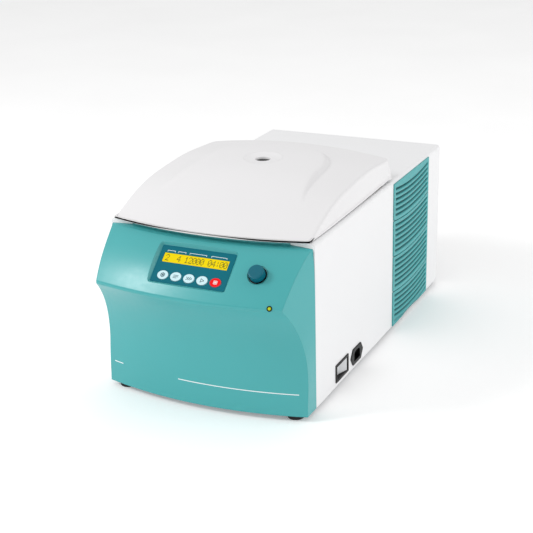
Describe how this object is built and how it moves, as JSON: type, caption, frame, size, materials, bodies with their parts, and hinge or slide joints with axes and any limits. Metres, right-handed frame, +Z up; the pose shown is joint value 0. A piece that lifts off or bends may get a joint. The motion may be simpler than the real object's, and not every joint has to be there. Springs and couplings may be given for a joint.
{
  "type": "refrigerated microcentrifuge",
  "caption": "Low bench centrifuge with a bowed front and tilted keypad, a domed hinged lid with a view port, louvred sides and a cooled rotor chamber.",
  "frame": {"origin": "centre of the footprint at the bench surface, under the feet", "axes": "+Z up, the control front faces -Y, +X is the right side with the mains switch"},
  "size_m": [0.33, 0.65, 0.3201],
  "materials": {
    "teal_plastic": "fine satin",
    "white_paint": "satin",
    "lid_plastic": "soft gloss",
    "petrol_foil": "satin",
    "display_yellow": "gloss",
    "key_pale": "satin",
    "key_red": "satin",
    "board_green": "satin",
    "black_plastic": "satin",
    "grey_plastic": "satin",
    "led_green": "gloss",
    "rubber_black": "matt",
    "zinc_steel": "satin",
    "stainless": "brushed",
    "aluminium": "satin",
    "window_clear": "clear",
    "foam": "matt",
    "copper": "satin",
    "brass": "satin",
    "dark_paint": "satin"
  },
  "bodies": {
    "housing": {"front_panel": "teal_plastic", "keypad_foil": "petrol_foil", "display_window": "display_yellow", "control_board": "board_green", "encoder": "zinc_steel", "knob_ring": "black_plastic", "status_led": "led_green", "base_plate": "zinc_steel", "feet": "rubber_black", "housing_shell": "white_paint", "rear_panel": "zinc_steel", "rear_screws": "zinc_steel", "switch_frame": "black_plastic", "mains_inlet": "black_plastic", "inlet_pins": "brass", "hinge_brackets": "zinc_steel", "hinge_pins": "stainless", "lock_housing": "black_plastic", "chamber_bowl": "stainless", "chamber_gasket": "rubber_black", "insulation": "foam", "motor_housing": "dark_paint", "motor_plate": "zinc_steel", "motor_mounts": "rubber_black", "compressor": "dark_paint", "condenser": "aluminium", "fan_shroud": "black_plastic", "fan_motor": "dark_paint", "refrigerant_pipe": "copper", "power_board": "board_green", "louvre_right_1": "teal_plastic", "louvre_right_2": "teal_plastic", "louvre_right_3": "teal_plastic", "louvre_right_4": "teal_plastic", "louvre_left_1": "teal_plastic", "louvre_left_2": "teal_plastic", "louvre_left_3": "teal_plastic", "louvre_left_4": "teal_plastic"},
    "lid": {"lid_shell": "lid_plastic", "lid_liner": "grey_plastic", "port_ring": "lid_plastic", "port_window": "window_clear", "lid_arms": "zinc_steel", "lid_striker": "stainless"},
    "rotor": {"rotor": "aluminium", "rotor_cover": "aluminium", "rotor_nut": "black_plastic", "motor_shaft": "stainless"},
    "knob": {"knob": "petrol_foil", "knob_shaft": "brass"},
    "rocker": {"rocker": "grey_plastic"},
    "lock_bolt": {"lock_bolt": "stainless"},
    "fan": {"fan": "black_plastic"},
    "key_cool": {"key_cool": "key_pale"},
    "key_program": {"key_program": "key_pale"},
    "key_force": {"key_force": "key_pale"},
    "key_start": {"key_start": "key_pale"},
    "key_stop": {"key_stop": "key_red"}
  },
  "joints": [
    {"name": "lid_hinge", "type": "hinge", "parent": "housing", "child": "lid", "pos_m": [0, 0.112, 0.27], "axis": [-1, 0, 0], "range_deg": [0, 80]},
    {"name": "rotor_spin", "type": "hinge", "parent": "housing", "child": "rotor", "pos_m": [0, -0.049, 0.2], "axis": [0, 0, 1], "continuous": true},
    {"name": "knob_turn", "type": "hinge", "parent": "housing", "child": "knob", "pos_m": [0.101, -0.28381, 0.2229], "axis": [0, -0.6561, 0.7547], "continuous": true},
    {"name": "cool_press", "type": "slide", "parent": "housing", "child": "key_cool", "axis": [0, 0.6561, -0.7547], "range_m": [0, 0.0005], "stiffness_N_per_m": 500},
    {"name": "program_press", "type": "slide", "parent": "housing", "child": "key_program", "axis": [0, 0.6561, -0.7547], "range_m": [0, 0.0005], "stiffness_N_per_m": 500},
    {"name": "force_press", "type": "slide", "parent": "housing", "child": "key_force", "axis": [0, 0.6561, -0.7547], "range_m": [0, 0.0005], "stiffness_N_per_m": 500},
    {"name": "start_press", "type": "slide", "parent": "housing", "child": "key_start", "axis": [0, 0.6561, -0.7547], "range_m": [0, 0.0005], "stiffness_N_per_m": 500},
    {"name": "stop_press", "type": "slide", "parent": "housing", "child": "key_stop", "axis": [0, 0.6561, -0.7547], "range_m": [0, 0.0005], "stiffness_N_per_m": 500},
    {"name": "rocker_tilt", "type": "hinge", "parent": "housing", "child": "rocker", "pos_m": [0.1525, -0.1345, 0.029], "axis": [0, 0, 1], "range_deg": [0, 18]},
    {"name": "lock_slide", "type": "slide", "parent": "housing", "child": "lock_bolt", "axis": [0, -1, 0], "range_m": [0, 0.012]},
    {"name": "fan_spin", "type": "hinge", "parent": "housing", "child": "fan", "pos_m": [0.12, 0.1745, 0.132], "axis": [1, 0, 0], "continuous": true}
  ]
}
